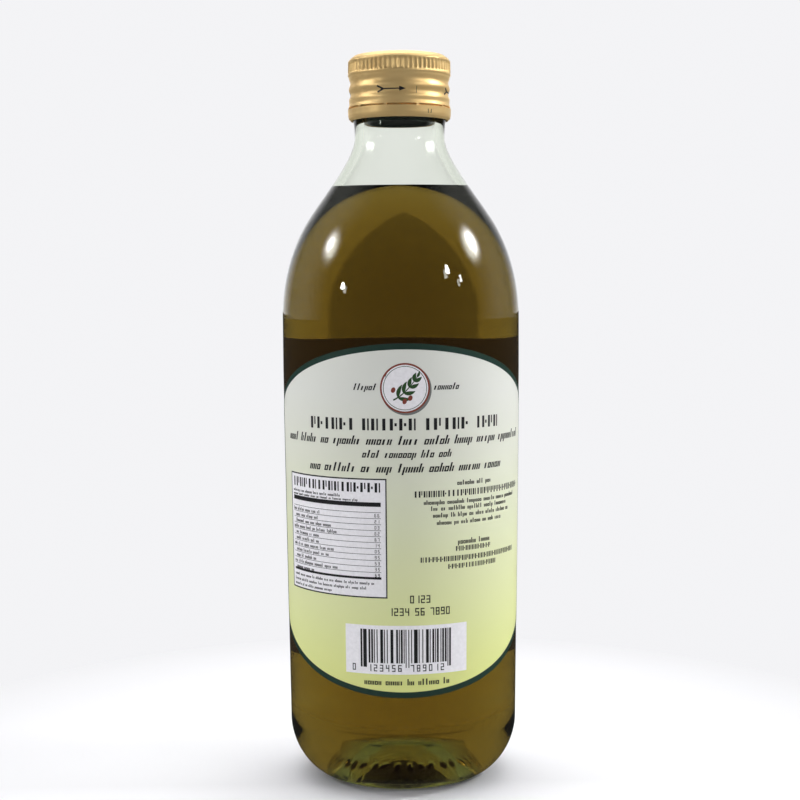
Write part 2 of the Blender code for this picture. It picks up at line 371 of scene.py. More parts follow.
def mould_marks(angle, radii, heights):
    """Raised strokes under the punt: a bar stands out where a point lies near a short line in plan."""
    x, y = radii * np.cos(angle), radii * np.sin(angle)
    under = (radii < BEARING_RADIUS - BEARING_WIDTH - PUNT_STEP) & (heights < PUNT_HEIGHT + 0.1)
    draw = np.random.default_rng(7)
    raised = np.zeros_like(x)
    for turn in np.radians(np.arange(-150.0, 150.0, 11.0)):
        lean = turn + draw.uniform(-0.9, 0.9)
        middle = (MARK_CIRCLE * math.sin(turn), -MARK_CIRCLE * math.cos(turn))
        along = (x - middle[0]) * math.sin(lean) - (y - middle[1]) * math.cos(lean)
        across = (x - middle[0]) * math.cos(lean) + (y - middle[1]) * math.sin(lean)
        near = np.hypot(across, np.maximum(np.abs(along) - draw.uniform(1.0, 2.6), 0.0))
        raised = np.maximum(raised, np.clip(1.25 - near / MARK_HALF_WIDTH, 0.0, 1.0))
    return radii, heights - np.where(under, raised * MARK_HEIGHT, 0.0)


glass_look = Look("clear_glass")
glass_look.set(
    Base_Color=(1.0, 1.0, 1.0),
    Roughness=0.0,
    IOR=1.5,
    Transmission_Weight=1.0,
)
glass_look.absorb(GLASS_TINT, GLASS_DENSITY)
glass_r, glass_z = glass_profile()
turned(
    "bottle_glass",
    glass_r,
    glass_z,
    GLASS_COLUMNS,
    glass_look.material,
    shift=mould_marks,
    node="glass_bottle",
    slot="glass",
)


# The oil fills the bottle from its floor to the level in the lower neck and wets the wall,
# so it reaches a hair into the glass. It is clear and green-gold, dark through its full depth.
OIL_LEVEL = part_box("oil")[1].z / MM
OIL_REACH = 0.06
MENISCUS_RISE = 0.9
MENISCUS_WIDTH = 1.6
OIL_TINT = (0.59, 0.475, 0.0)
OIL_DENSITY = 63.0

oil_look = Look("olive_oil")
oil_look.set(
    Base_Color=(1.0, 1.0, 1.0),
    Roughness=0.0,
    IOR=1.47,
    Transmission_Weight=1.0,
    Specular_Tint=(0.0, 0.0, 0.0),
)
oil_look.absorb(OIL_TINT, OIL_DENSITY)


def oil_profile():
    """The glass's inside moved out by a hair, closed by a level top that creeps up at the wall."""
    inner_r, inner_z = inner_profile()
    keep = inner_z < OIL_LEVEL
    side_r, side_z = moved_in(inner_r[keep], inner_z[keep], -OIL_REACH)
    side_r[0] = 0.0
    wall = inner_z > INNER_HEEL_TOP
    edge = np.interp(OIL_LEVEL, inner_z[wall], inner_r[wall]) + OIL_REACH
    top_r = np.linspace(edge, 0.0, 40)
    top_z = OIL_LEVEL - MENISCUS_RISE * (1.0 - np.exp(-(edge - top_r) / MENISCUS_WIDTH))
    return joined((side_r, side_z), (top_r, top_z))


oil_r, oil_z = oil_profile()
turned("bottle_oil", oil_r, oil_z, GLASS_COLUMNS, oil_look.material, node="oil", slot="oil")


# Each label is satin printed paper glued half way round the body: an oval with arcs for its top
# and bottom, white that fades down to yellow-green, inside a dark green printed edge.
# Its glued side glows a little with painted light, an emission standing in for light soaking through the
# paper, so it shows in the oil.
LABEL_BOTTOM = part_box("back_label")[0].z / MM
LABEL_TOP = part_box("back_label")[1].z / MM
LABEL_HALF_WIDTH = 64.0
LABEL_ARC_RADIUS = 109.0
LABEL_CORNER = 5.0
LABEL_BURIED = 0.05
LABEL_PROUD = 0.11
GLUED_TO = 0.04
GLUED_SIDE_PAINTED_GLOW = (0.13, 0.11, 0.25)
BORDER = 2.1


def glass_radius(z):
    """Radius of the body's straight taper at a height."""
    return np.interp(z, [HEEL_HEIGHT, BODY_STRAIGHT_FROM], [HEEL_TOP_RADIUS, BODY_RADIUS])


def on_body(facing):
    """Places x mm round the body and z up, at a lift off the glass. facing is the middle, from +X."""

    def put(x, z, lift):
        turn = facing + x / BODY_RADIUS
        r = glass_radius(z) + lift
        return np.stack([r * np.cos(turn), r * np.sin(turn), z], axis=-1)

    return put


def outline(inset):
    """Half the label's outline, left tip to right tip: x and half heights, drawn in by an inset."""
    width, corner = LABEL_HALF_WIDTH - inset, LABEL_CORNER - min(inset, 3.0) * 0.6
    flat = width - corner
    middle = np.linspace(-flat, flat, 97)
    turn = np.linspace(0.0, math.pi / 2.0, 9)[1:]
    right = flat + corner * np.sin(turn)
    x = np.concatenate([-right[::-1], middle, right])
    draw = np.concatenate([corner * (1.0 - np.cos(turn[::-1])), np.zeros(97), corner * (1.0 - np.cos(turn))])
    sag = LABEL_ARC_RADIUS - np.sqrt(LABEL_ARC_RADIUS**2 - x * x)
    return x, (LABEL_TOP - LABEL_BOTTOM) / 2.0 - inset - sag - draw


def slabs(x, z, surface, high, low):
    """Closed thin sheets: each grid at a high lift, again at a low lift, and a strip round the edge."""
    count, rows, columns = x.shape
    points = np.stack([surface(x, z, high), surface(x, z, low)], axis=1).reshape(-1, 3)
    index = np.arange(rows * columns).reshape(rows, columns)
    corners = (index[:-1, :-1], index[:-1, 1:], index[1:, 1:], index[1:, :-1])
    front = np.stack([c.ravel() for c in corners], axis=1)
    back = front[:, ::-1] + rows * columns
    rim = np.concatenate([index[0, :], index[1:, -1], index[-1, -2::-1], index[-2:0:-1, 0]])
    after = np.roll(rim, -1)
    strip = np.stack([rim, rim + rows * columns, after + rows * columns, after], axis=1)
    sheet = np.concatenate([front, back, strip])
    starts = np.arange(count)[:, None, None] * 2 * rows * columns
    return points, (sheet[None] + starts).reshape(-1, 4)


def paper(surface):
    """A grid inside the outline, from its lower to its upper edge, as one closed sheet."""
    x, half = outline(0.0)
    rows = np.linspace(-1.0, 1.0, 41)[:, None]
    z = (LABEL_TOP + LABEL_BOTTOM) / 2.0 + rows * half[None, :]
    across = np.repeat(x[None, :], len(rows), axis=0)
    return slabs(across[None], z[None], surface, LABEL_PROUD, -LABEL_BURIED)


paper_look = Look("label_paper")
height_up = (paper_look.axis("Z") - LABEL_BOTTOM * MM) / ((LABEL_TOP - LABEL_BOTTOM) * MM)
PAPER_FADE = [
    (0.03, (0.74, 0.78, 0.27)),
    (0.17, (0.75, 0.80, 0.35)),
    (0.37, (0.76, 0.80, 0.47)),
    (0.50, (0.76, 0.80, 0.56)),
    (0.68, (0.76, 0.78, 0.66)),
    (0.86, (0.76, 0.775, 0.72)),
]
fade = paper_look.ramp(height_up, PAPER_FADE)
taper = (BODY_RADIUS - HEEL_TOP_RADIUS) / (BODY_STRAIGHT_FROM - HEEL_HEIGHT)
glass_here = (paper_look.axis("Z") - HEEL_HEIGHT * MM) * taper + HEEL_TOP_RADIUS * MM
glass_here = glass_here.at_most(BODY_RADIUS * MM)
from_axis = (paper_look.axis("X") ** 2.0 + paper_look.axis("Y") ** 2.0) ** 0.5
# Painted light: the glued inner side of the paper gets a faint emission, a glow though it is no lamp. The
# outer skin gets none.
outer_skin = from_axis.above(glass_here + GLUED_TO * MM)
painted_glue_side_glow = paper_look.mix(outer_skin, GLUED_SIDE_PAINTED_GLOW, (0.0, 0.0, 0.0))
paper_look.set(Base_Color=fade, Roughness=0.45, IOR=1.45, Emission_Color=painted_glue_side_glow, Emission_Strength=1.0)
paper_look.bump(paper_look.noise(2600.0, 3.0), 0.25, 0.00004)

FACINGS = {"back": math.radians(-90.0), "front": math.radians(90.0)}
for side, facing in FACINGS.items():
    points, faces = paper(on_body(facing))
    mesh_piece(
        side + "_label_paper", points, [faces], paper_look.material, node=side + "_label", slot="label_paper"
    )


# The print is ink on the paper: the dark green edge, and marks that stand for lines of small print,
# a ruled table, a bar code and an olive sprig in a ring. Apart from plain numbers it is not lettering.
# The inks lie over each other in this order, the first one lowest.
INK_COLOURS = {
    "grey": (0.16, 0.17, 0.16),
    "white": (0.80, 0.79, 0.82),
    "green": (0.010, 0.040, 0.028),
    "leaf": (0.022, 0.075, 0.018),
    "rust": (0.22, 0.045, 0.028),
    "black": (0.014, 0.014, 0.016),
}
INK_LIFT_STEP = 0.006
INK_BURIED = 0.03


def ink_look(name, colour):
    """Satin ink, a little uneven in tone and gloss."""
    look = Look(name + "_ink")
    patchy = look.noise(900.0, 3.0)
    paler = tuple(c * 1.25 + 0.004 for c in colour)
    look.set(Base_Color=look.mix(patchy, colour, paler), Roughness=0.38 + 0.2 * patchy, IOR=1.4)
    look.bump(look.noise(5200.0, 2.0), 0.2, 0.00002)
    return look.material


INKS = {name: ink_look(name, colour) for name, colour in INK_COLOURS.items()}
INK_LIFTS = {name: LABEL_PROUD + INK_LIFT_STEP * (k + 1) for k, name in enumerate(INK_COLOURS)}


def cells(boxes, slant=0.0, base=0.0):
    """Grids of the four corners of boxes (left, right, foot, head), leaning to the right above a base."""
    left, right, foot, head = np.asarray(boxes, dtype=float).reshape(-1, 4).T
    low, high = slant * (foot - base), slant * (head - base)
    x = np.stack([left + low, right + low, left + high, right + high], axis=1)
    z = np.stack([foot, foot, head, head], axis=1)
    return x.reshape(-1, 2, 2), z.reshape(-1, 2, 2)


def cut(boxes, longest=1.6):
    """Long boxes cut across into equal shorter ones, so that they bend round the body."""
    boxes = np.asarray(boxes, dtype=float).reshape(-1, 4)
    width = boxes[:, 1] - boxes[:, 0]
    count = np.ceil(width / longest).astype(int)
    which = np.repeat(np.arange(len(boxes)), count)
    step = np.arange(len(which)) - np.repeat(np.cumsum(count) - count, count)
    left = boxes[which, 0] + step * (width / count)[which]
    return np.stack([left, left + (width / count)[which], boxes[which, 2], boxes[which, 3]], axis=1)


def panel(left, right, foot, head, columns=48):
    """One grid that fills a rectangle."""
    x, z = np.meshgrid(np.linspace(left, right, columns), np.linspace(foot, head, 3))
    return x[None], z[None]


def ribbon(x, z, half):
    """One grid along a path: each path point moved to both sides of it by its half width."""
    along_x, along_z = np.gradient(x), np.gradient(z)
    length = np.hypot(along_x, along_z)
    side = np.array([-1.0, -0.33, 0.33, 1.0])[:, None] * half
    return (x - side * along_z / length)[None], (z + side * along_x / length)[None]


def loop(centre, radius, half, steps=181):
    """A ring as a ribbon round a circle, ends meeting at its foot."""
    turn = np.linspace(-0.5, 1.5, steps) * math.pi
    return ribbon(centre[0] + radius * np.cos(turn), centre[1] + radius * np.sin(turn), half)


def disc(centre, radii, lean=0.0, steps=97):
    """An ellipse as a ribbon along its long axis, as wide as the ellipse is there."""
    t = -np.cos(np.linspace(0.02, 0.98, steps) * math.pi)
    half = radii[1] * np.sqrt(1.0 - t * t)
    return ribbon(centre[0] + radii[0] * t * math.cos(lean), centre[1] + radii[0] * t * math.sin(lean), half)


def leaf(root, lean, length, width, curl=0.25, steps=13):
    """A leaf as a ribbon from its root, bent by a curl, with a sine for its width."""
    t = np.linspace(0.02, 1.0, steps)
    bend = lean + curl * t
    return ribbon(
        root[0] + length * t * np.cos(bend),
        root[1] + length * t * np.sin(bend),
        width * np.sin(math.pi * t**0.85) + 0.02 * length,
    )


SMALL_CELLS = (
    ((0.0, 0.3, 0.0, 0.62), (0.54, 0.84, 0.0, 0.62), (0.2, 0.6, 0.0, 0.14), (0.2, 0.6, 0.48, 0.62)),
    ((0.0, 0.34, 0.0, 0.62), (0.5, 0.82, 0.0, 0.62)),
    ((0.1, 0.5, 0.0, 0.62),),
    ((0.15, 0.53, 0.0, 1.0),),
    ((0.0, 0.34, 0.0, 1.0), (0.52, 0.82, 0.0, 0.62)),
    ((0.0, 0.34, -0.28, 0.62), (0.52, 0.82, 0.0, 0.62)),
)
SMALL_SHARES = (0.26, 0.34, 0.12, 0.12, 0.09, 0.07)
LARGE_CELLS = (
    ((0.0, 0.34, 0.0, 1.0), (0.56, 0.74, 0.0, 1.0)),
    ((0.0, 0.34, 0.0, 1.0), (0.5, 0.74, 0.36, 0.62)),
    ((0.0, 0.34, 0.0, 1.0), (0.54, 0.72, 0.34, 1.0)),
    ((0.2, 0.54, 0.0, 1.0),),
)
LARGE_SHARES = (0.4, 0.25, 0.2, 0.15)


def words(draw, start, end, base, height, slant=0.0, capital=False):
    """A line of print as words of cells. Each cell is a blank frame or upright strokes, drawn at random."""
    kinds, shares = (LARGE_CELLS, LARGE_SHARES) if capital else (SMALL_CELLS, SMALL_SHARES)
    pitch = (0.8 if capital else 0.6) * height
    count = max(2, round((end - start) / pitch))
    pitch = (end - start) / count
    gaps = np.cumsum(draw.integers(3, 9, count))
    place = np.arange(count) if capital else np.setdiff1d(np.arange(count), gaps[gaps < count - 2])
    boxes = [
        (start + (k + a) * pitch, start + (k + b) * pitch, base + c * height, base + d * height)
        for k, kind in zip(place, draw.choice(len(kinds), len(place), p=shares))
        for a, b, c, d in kinds[kind]
    ]
    return cells(boxes, slant, base)


SEGMENTS = {
    "top": (0.0, 1.0, 0.86, 1.0),
    "middle": (0.0, 1.0, 0.43, 0.57),
    "foot": (0.0, 1.0, 0.0, 0.14),
    "high_left": (0.0, 0.26, 0.5, 1.0),
    "high_right": (0.74, 1.0, 0.5, 1.0),
    "low_left": (0.0, 0.26, 0.0, 0.5),
    "low_right": (0.74, 1.0, 0.0, 0.5),
}
BARS_OF_DIGIT = (
    "top foot high_left high_right low_left low_right",
    "high_right low_right",
    "top middle foot high_right low_left",
    "top middle foot high_right low_right",
    "middle high_left high_right low_right",
    "top middle foot high_left low_right",
    "top middle foot high_left low_left low_right",
    "top high_right low_right",
    "top middle foot high_left high_right low_left low_right",
    "top middle foot high_left high_right low_right",
)


def digits(numbers, start, base, height, pitch):
    """Plain numbers, each made of up to seven straight bars."""
    wide = 0.52 * height
    boxes = [
        (start + k * pitch + a * wide, start + k * pitch + b * wide, base + c * height, base + d * height)
        for k, number in enumerate(numbers)
        for a, b, c, d in (SEGMENTS[bar] for bar in BARS_OF_DIGIT[number].split())
    ]
    return cells(boxes)


def printed(name, colour, surface, grids, lift=None, slot="label_paper"):
    """One mesh of thin ink on a surface, from many grids."""
    lift = INK_LIFTS[colour] if lift is None else lift
    sheets = [slabs(x, z, surface, lift, lift - INK_BURIED) for x, z in grids]
    starts = np.cumsum([0] + [len(points) for points, _ in sheets])
    faces = [sheet[1] + start for sheet, start in zip(sheets, starts)]
    mesh_piece(name, np.concatenate([points for points, _ in sheets]), faces, INKS[colour], slot=slot)


def edge_band(surface):
    """A band between the paper's outline and the same outline drawn in."""
    middle = (LABEL_TOP + LABEL_BOTTOM) / 2.0
    loops = []
    for inset in (BORDER, 0.0):
        x, half = outline(inset)
        around = np.concatenate([x, x[::-1], x[:1]])
        loops.append((around, middle + np.concatenate([half, -half[::-1], half[:1]])))
    return np.stack([loops[0][0], loops[1][0]])[None], np.stack([loops[0][1], loops[1][1]])[None]


def sprig(centre, size):
    """A bent stem, leaves in pairs along it and a few olives. Gives the green and the rust grids."""
    t = np.linspace(0.0, 1.0, 21)
    stem_x = centre[0] + size * (-0.5 + 1.0 * t)
    stem_z = centre[1] + size * (-0.5 + 0.95 * t - 0.5 * t * (1.0 - t))
    greens, olives = [ribbon(stem_x, stem_z, size * (0.032 - 0.016 * t))], []
    for at in (0.2, 0.44, 0.68, 0.88):
        root = (np.interp(at, t, stem_x), np.interp(at, t, stem_z))
        lean = math.atan2(np.interp(at, t, np.gradient(stem_z)), np.interp(at, t, np.gradient(stem_x)))
        for side in (-1.0, 1.0):
            length = size * (0.62 - 0.28 * at)
            greens.append(leaf(root, lean + side * (1.15 - 0.4 * at), length, 0.075 * size, -0.4 * side))
    greens.append(leaf((stem_x[-1], stem_z[-1]), 0.9, 0.3 * size, 0.05 * size))
    for across, up in ((-0.02, -0.56), (0.22, -0.42), (-0.5, -0.08)):
        spot = (centre[0] + across * size, centre[1] + up * size)
        olives.append(disc(spot, (0.12 * size, 0.09 * size), 1.2))
    return greens, olives


def emblem(side, surface, centre, radius):
    """A paper-white disc with a soft shadow, a rust ring, a fine green ring and a sprig."""
    greens, olives = sprig(centre, radius * 0.95)
    shadow = (centre[0] + 0.055 * radius, centre[1] - 0.07 * radius)
    printed(side + "_emblem_shadow", "grey", surface, [disc(shadow, (radius * 1.02, radius * 1.02))])
    printed(side + "_emblem_disc", "white", surface, [disc(centre, (radius, radius))])
    printed(side + "_emblem_sprig", "leaf", surface, greens + [loop(centre, radius * 0.87, radius * 0.012)])
    printed(side + "_emblem_ring", "rust", surface, [loop(centre, radius * 0.97, radius * 0.036)] + olives)


def facts_table(draw):
    """A framed table: a heading, two lines, a thick bar, ruled rows of name and number, a footnote."""
    left, right, foot, head = -52.0, -6.4, 72.3, 114.2
    frame_wide, inset, first_row, row_pitch, row_count = 0.45, 2.1, 102.3, 2.1, 12
    sides = [
        (left, left + frame_wide, foot, head),
        (right - frame_wide, right, foot, head),
        (left, right, foot, foot + frame_wide),
        (left, right, head - frame_wide, head),
    ]
    start, end = left + inset, right - inset
    rows = first_row - row_pitch * np.arange(row_count)
    rules = [(start, end, z, z + 0.16) for z in rows]
    thick = [(start, end, 104.4, 105.9), (start, end, rows[-1] - 0.3, rows[-1] + 0.5)]
    black = [cells(cut(sides + rules + thick))]
    black.append(words(draw, start, end + 0.5, 109.4, 3.3, 0.0, True))
    black += [words(draw, start, start + 26.0, 107.4, 1.1), words(draw, start, start + 33.0, 106.2, 0.9)]
    for k, z in enumerate(rows[:-1]):
        indent = 0.0 if k % 3 == 0 else 1.6
        black.append(words(draw, start + indent, start + draw.uniform(13.0, 25.0), z - 1.65, 1.25))
        black.append(digits(draw.integers(0, 10, 2), end - 2.3, z - 1.6, 1.2, 1.1))
    for z, reach in ((77.0, 39.0), (75.2, 36.0), (73.5, 22.0)):
        black.append(words(draw, start, start + reach, z, 1.05))
    return panel(left, right, foot, head), black


def bar_code(draw):
    """Upright bars of one to four widths, the first, middle and last pair longer, over a row of numbers."""
    left, right, foot, head = -16.5, 17.3, 49.4, 61.3
    count, overhang = 30, 1.6
    base, height, pitch = 46.4, 2.4, 2.2
    widths = draw.choice([1.0, 2.0, 3.0, 4.0], 2 * count, p=[0.5, 0.28, 0.14, 0.08])
    edges = left + np.concatenate([[0.0], np.cumsum(widths)]) / widths.sum() * (right - left)
    long_ones = np.isin(np.arange(count), (0, 1, 14, 15, 28, 29))
    starts, ends = edges[:-1:2], edges[1::2]
    feet = np.where(long_ones, foot - overhang, foot)
    bars = np.stack([starts, ends, feet, np.full(count, head)], axis=1)
    numbers = [
        digits([0], left - 3.2, base, height, pitch),
        digits(range(1, 7), left + 2.7, base, height, pitch),
        digits([7, 8, 9, 0, 1, 2], left + 18.2, base, height, pitch),
    ]
    return panel(-22.4, 23.1, 45.4, 62.7), [cells(bars)] + numbers


def text_lines(draw, lines):
    """Lines of print, each given as start, end, base, height, slant and whether it is capital."""
    return [words(draw, *line) for line in lines]


back = on_body(FACINGS["back"])
draw = np.random.default_rng(21)
HEADING = [
    (-36.9, -17.1, 131.0, 4.1, 0.0, True),
    (-14.9, 4.7, 131.0, 4.1, 0.0, True),
    (6.8, 24.2, 131.0, 4.1, 0.0, True),
    (26.9, 38.6, 131.0, 4.1, 0.0, True),
    (-18.3, -9.8, 144.9, 2.3, 0.35),
    (10.1, 19.6, 144.9, 2.3, 0.35),
    (-52.7, 54.9, 126.0, 3.1, 0.3),
    (-15.2, 16.7, 121.5, 2.7, 0.3),
    (-38.1, 40.0, 116.4, 3.1, 0.3),
]
RIGHT_COLUMN = [
    (19.1, 34.7, 111.4, 1.7),
    (3.1, 55.2, 107.6, 2.2, 0.0, True),
    (6.6, 51.0, 105.0, 1.6),
    (9.1, 44.2, 102.8, 1.6),
    (9.9, 46.0, 100.4, 1.6),
    (11.3, 40.6, 97.8, 1.6),
    (19.4, 34.0, 90.6, 1.9),
    (18.6, 34.6, 88.2, 1.7, 0.0, True),
    (5.4, 51.0, 84.8, 1.8, 0.0, True),
    (15.6, 37.7, 82.1, 1.7, 0.0, True),
    (-15.2, 16.2, 41.6, 2.2),
]
table_white, table_black = facts_table(draw)
code_white, code_black = bar_code(draw)
emblem("back", back, (0.25, 145.6), 8.6)
printed("back_label_edge", "green", back, [edge_band(back)])
printed("back_label_panels", "white", back, [table_white, code_white])
STAMP_HEIGHT = 2.7
STAMP_PITCH = 1.95
STAMPED_NUMBERS = [
    ((0, 1, 2, 3), 1.6, 70.6),
    ((1, 2, 3, 4), -6.0, 66.2),
    ((5, 6), 3.4, 66.2),
    ((7, 8, 9, 0), 8.9, 66.2),
]
stamps = [digits(numbers, x, z, STAMP_HEIGHT, STAMP_PITCH) for numbers, x, z in STAMPED_NUMBERS]
lines = text_lines(draw, HEADING + RIGHT_COLUMN)
printed("back_label_print", "black", back, table_black + code_black + lines + stamps)

front = on_body(FACINGS["front"])
FRONT_LINES = [
    (-36.0, -2.0, 83.6, 6.4, 0.0, True),
    (3.0, 36.0, 83.6, 6.4, 0.0, True),
    (-22.0, 22.0, 76.5, 4.0, 0.3),
    (-30.0, 30.0, 55.6, 2.2),
    (-24.0, 24.0, 52.0, 2.2),
    (-12.0, 12.0, 44.4, 3.0),
]
emblem("front", front, (0.0, 121.0), 24.0)
printed("front_label_edge", "green", front, [edge_band(front)])
bands = cut([(-44.0, 44.0, 70.6, 71.4), (-44.0, 44.0, 61.4, 62.2)])
printed("front_label_bands", "rust", front, [cells(bands)])
printed("front_label_field", "green", front, [panel(-44.0, 44.0, 62.8, 70.0)])
printed("front_label_print", "black", front, text_lines(draw, FRONT_LINES))


# The screw cap is drawn and rolled from thin gold-lacquered aluminium: a knurled head,
# two rolled grooves with a bead between them, and a tamper band held by bridges over a slit.
cap_low, cap_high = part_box("cap")
CAP_TOP = cap_high.z / MM
CAP_BOTTOM = cap_low.z / MM
CAP_BORE = 17.35
CAP_UNDERSIDE = 263.2
CAP_ROLLED_TO = 261.9
CAP_EDGE_HEIGHT = 263.95
CAP_EDGE_RADIUS = 16.6
CROWN_POWER = 3.2
KNURLS = 68
KNURL_DEPTH = 0.42
KNURL_BOTTOM = 257.6
KNURL_TOP = 261.8
TEAR_BOTTOM = 244.82
TEAR_TOP = 245.34
TEAR_DEPTH = 0.95
TEAR_BRIDGES = 10
BRIDGE_HALF = 0.55
VIEW_TURN = math.radians(-91.4)
BRIDGE_TURN = VIEW_TURN + math.radians(-15.4)
CAP_BEADS = [
    (CAP_BOTTOM + 0.02, 17.85),
    (241.6, 18.62),
    (242.6, 18.78),
    (244.7, 18.84),
    (245.4, 18.58),
    (246.7, 18.3),
    (248.1, 18.42),
    (249.9, 17.86),
    (252.0, 18.48),
    (254.2, 17.92),
    (256.4, 18.46),
    (257.0, 18.78),
    (257.5, 18.74),
    (262.0, 18.68),
    (262.9, 18.0),
    (CAP_EDGE_HEIGHT, CAP_EDGE_RADIUS),
]


def cap_radius(z):
    """Eased with a cosine from each rolled bead or groove to the next. The head's edge runs straight."""
    heights, radii = np.array(CAP_BEADS).T
    k = np.clip(np.searchsorted(heights, z, side="right") - 1, 0, len(heights) - 2)
    t = np.clip((z - heights[k]) / (heights[k + 1] - heights[k]), 0.0, 1.0)
    eased = 0.5 - 0.5 * np.cos(math.pi * t)
    return radii[k] + (radii[k + 1] - radii[k]) * np.where(z > CAP_ROLLED_TO, t, eased)


def cap_profile():
    """From the middle of the underside down the bore, round the rolled edge and up outside to the top."""
    under = (np.array([0.0, 9.0, 16.6, 17.2]), np.array([CAP_UNDERSIDE] * 3 + [CAP_UNDERSIDE - 0.1]))
    bore_z = np.linspace(CAP_UNDERSIDE - 0.5, CAP_BOTTOM + 0.3, 6)
    inside = (np.full(6, CAP_BORE), bore_z)
    edge = (np.array([17.42, 17.6]), np.array([CAP_BOTTOM + 0.06, CAP_BOTTOM]))
    slit = [TEAR_BOTTOM - 0.08, TEAR_BOTTOM, TEAR_TOP, TEAR_TOP + 0.08]
    side_z = np.concatenate([np.arange(CAP_BOTTOM + 0.02, TEAR_BOTTOM - 0.1, 0.25), slit])
    side_z = np.concatenate([side_z, np.arange(TEAR_TOP + 0.2, CAP_EDGE_HEIGHT - 0.05, 0.22)])
    top_r = CAP_EDGE_RADIUS * (1.0 - np.linspace(0.0, 1.0, 16))
    crown = 1.0 - (top_r / CAP_EDGE_RADIUS) ** CROWN_POWER
    top_z = CAP_EDGE_HEIGHT + (CAP_TOP - CAP_EDGE_HEIGHT) * crown
    return joined(under, inside, edge, (cap_radius(side_z), side_z), (top_r, top_z))


def knurl_and_tear(angle, radii, heights):
    """Takes the knurl's grooves and the tear slit out of the radius. The slit stops at each bridge."""
    outside = radii > CAP_BORE + 0.06
    rise = np.clip((heights - KNURL_BOTTOM) / 0.35, 0.0, 1.0)
    rise = rise * np.clip((KNURL_TOP - heights) / 0.9, 0.0, 1.0)
    groove = (0.5 + 0.5 * np.cos(KNURLS * angle)) ** 0.7
    pitch = 2.0 * math.pi / TEAR_BRIDGES
    off = np.abs((angle - BRIDGE_TURN + pitch / 2.0) % pitch - pitch / 2.0) * CAP_BORE
    inside_slit = (heights > TEAR_BOTTOM - 0.04) & (heights < TEAR_TOP + 0.04) & outside
    slit = np.where(inside_slit & (off > BRIDGE_HALF), TEAR_DEPTH, 0.0)
    return radii - outside * rise * groove * KNURL_DEPTH - slit, heights


cap_look = Look("gold_aluminium")
stretch = (60.0, 60.0, 9000.0)
turning = cap_look.node("ShaderNodeVectorMath", {"operation": "MULTIPLY"}, {0: cap_look.place(), 1: stretch})
brushed = cap_look.noise(1.0, 2.0, 0.5, turning)
cloudy = cap_look.noise(140.0, 3.0)
cap_look.set(
    Base_Color=cap_look.mix(cloudy, (1.0, 0.66, 0.26), (1.0, 0.74, 0.34)),
    Metallic=0.6,
    Roughness=0.33 + 0.1 * brushed + 0.08 * cloudy,
)
cap_look.bump(brushed, 0.12, 0.00003)
cap_r, cap_z = cap_profile()
turned(
    "screw_cap",
    cap_r,
    cap_z,
    KNURLS * 6,
    cap_look.material,
    shift=knurl_and_tear,
    node="cap",
    slot="cap_metal",
)


CAP_PRINT_RADIUS = 18.0


def on_cap(facing):
    """Places x mm round the cap and z up, at a lift off its rolled side."""

    def put(x, z, lift):
        turn = facing + x / CAP_PRINT_RADIUS
        r = cap_radius(z) + lift
        return np.stack([r * np.cos(turn), r * np.sin(turn), z], axis=-1)

    return put


# Four arrows that show the way to turn are printed in black round the groove of the cap, and the rolled seam
# and two nicks in the band are marked by fine dark lines of painted shade in the black ink.
ARROW_TURNS = VIEW_TURN + np.radians([-25.6, 64.4, 154.4, 244.4])
ARROW_HEIGHT = 250.5
CAP_INK_LIFT = 0.02


def arrow():
    """A shaft, a pointed head and a two-feathered tail."""
    shaft_x = np.linspace(1.4, 8.4, 15)
    head_x = np.linspace(8.0, 10.3, 7)
    tail_x = np.linspace(0.0, 2.2, 6)
    shafts = [ribbon(shaft_x, np.full(15, ARROW_HEIGHT), np.full(15, 0.2))]
    heads = [ribbon(head_x, np.full(7, ARROW_HEIGHT), 0.85 * (10.35 - head_x) / 2.35)]
    tails = [ribbon(tail_x, ARROW_HEIGHT + s * (1.1 - 0.5 * tail_x), np.full(6, 0.3)) for s in (-1.0, 1.0)]
    return shafts + heads + tails


def nick(x, foot, head, half, lean=0.0):
    """A fine upright line."""
    t = np.linspace(0.0, 1.0, 9)
    return ribbon(x + lean * t, head + (foot - head) * t, np.full(9, half))


for k, turn in enumerate(ARROW_TURNS):
    printed("cap_arrow_%d" % (k + 1), "black", on_cap(turn), arrow(), CAP_INK_LIFT, "cap_metal")
view_side = on_cap(VIEW_TURN)
# Painted shade: the seam and the nicks are dark ink lines that stand for the shade in these creases.
nicks = [
    nick(6.25, 248.9, 251.4, 0.08),
    nick(10.4, 242.1, 243.5, 0.13, 0.2),
    nick(11.8, 242.1, 243.5, 0.13, -0.2),
]
printed("cap_nicks", "black", view_side, nicks, CAP_INK_LIFT, "cap_metal")


# The pourer is a dark grey-green plastic insert pressed into the bore: a flange on the rim,
# a tube with three sealing ribs, and a closed floor.
pourer_low, pourer_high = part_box("pourer")
POURER_RADIUS = 12.2
POURER_BORE = 10.8
POURER_FLOOR = 241.4
POURER_FLOOR_THICK = 1.4
FLANGE_THICK = 0.7
RIB_RISE = 0.55
RIB_PITCH = 3.4
FIRST_RIB = 3.0
RIBS_TO = 11.5


